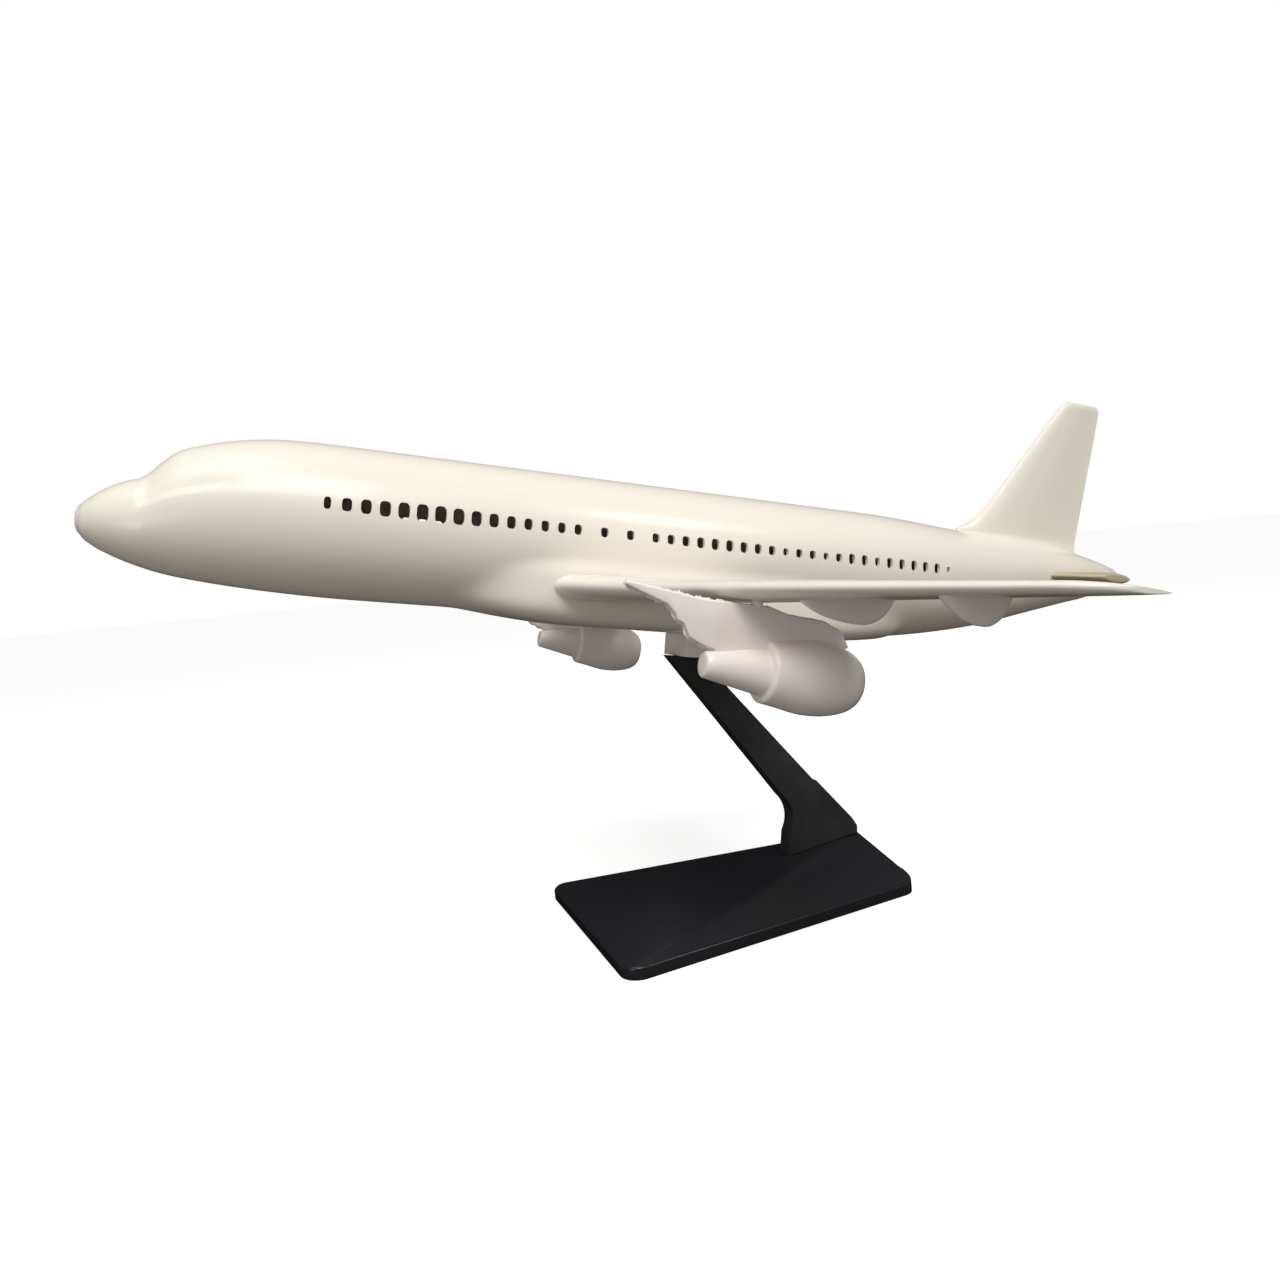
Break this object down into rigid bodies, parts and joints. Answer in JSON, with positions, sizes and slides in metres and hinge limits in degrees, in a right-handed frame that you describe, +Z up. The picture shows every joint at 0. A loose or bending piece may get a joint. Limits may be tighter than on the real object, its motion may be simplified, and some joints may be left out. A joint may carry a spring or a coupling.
{
  "type": "model airplane",
  "caption": "Desk model of a twin-engine jet airliner in plain cream plastic, perched nose-up on a black leaning arm and a faceted base.",
  "frame": {"origin": "on the base's flat underside, near its middle, in the airplane's centre plane", "axes": "+Z up from the table, nose towards -X and tail towards +X, port wing towards -Y"},
  "size_m": [0.2196, 0.192, 0.1002],
  "materials": {
    "cream_shell": "glossy moulded cream",
    "cream_wing": "satin moulded cream, a little greyer",
    "pale_pods": "waxy moulded pinkish white",
    "black_stand": "satin moulded black"
  },
  "bodies": {
    "base": {"stand_base": "black_stand"},
    "arm": {"stand_arm": "black_stand"},
    "airframe": {"fuselage_left": "cream_shell", "fuselage_right": "cream_shell", "stand_socket": "pale_pods"},
    "port_wing": {"wing_left": "cream_wing", "track_inner_left": "pale_pods", "track_outer_left": "pale_pods"},
    "starboard_wing": {"wing_right": "cream_wing", "track_inner_right": "pale_pods", "track_outer_right": "pale_pods"},
    "port_engine": {"engine_left": "pale_pods"},
    "starboard_engine": {"engine_right": "pale_pods"},
    "port_stabiliser": {"stabiliser_left": "cream_wing"},
    "starboard_stabiliser": {"stabiliser_right": "cream_wing"}
  },
  "joints": [
    {"name": "arm_in_base", "type": "slide", "parent": "base", "child": "arm", "axis": [0, 0, 1], "range_m": [0, 0.008]},
    {"name": "airframe_on_arm", "type": "slide", "parent": "arm", "child": "airframe", "axis": [0.1771, 0, 0.9842], "range_m": [0, 0.012]},
    {"name": "port_wing_tab", "type": "slide", "parent": "airframe", "child": "port_wing", "axis": [0, -1, 0], "range_m": [0, 0.009]},
    {"name": "starboard_wing_tab", "type": "slide", "parent": "airframe", "child": "starboard_wing", "axis": [0, 1, 0], "range_m": [0, 0.009]},
    {"name": "port_engine_peg", "type": "slide", "parent": "port_wing", "child": "port_engine", "axis": [-0.1771, 0, -0.9842], "range_m": [0, 0.005]},
    {"name": "starboard_engine_peg", "type": "slide", "parent": "starboard_wing", "child": "starboard_engine", "axis": [-0.1771, 0, -0.9842], "range_m": [0, 0.005]},
    {"name": "port_stabiliser_tab", "type": "slide", "parent": "airframe", "child": "port_stabiliser", "axis": [0, -1, 0], "range_m": [0, 0.008]},
    {"name": "starboard_stabiliser_tab", "type": "slide", "parent": "airframe", "child": "starboard_stabiliser", "axis": [0, 1, 0], "range_m": [0, 0.008]}
  ]
}
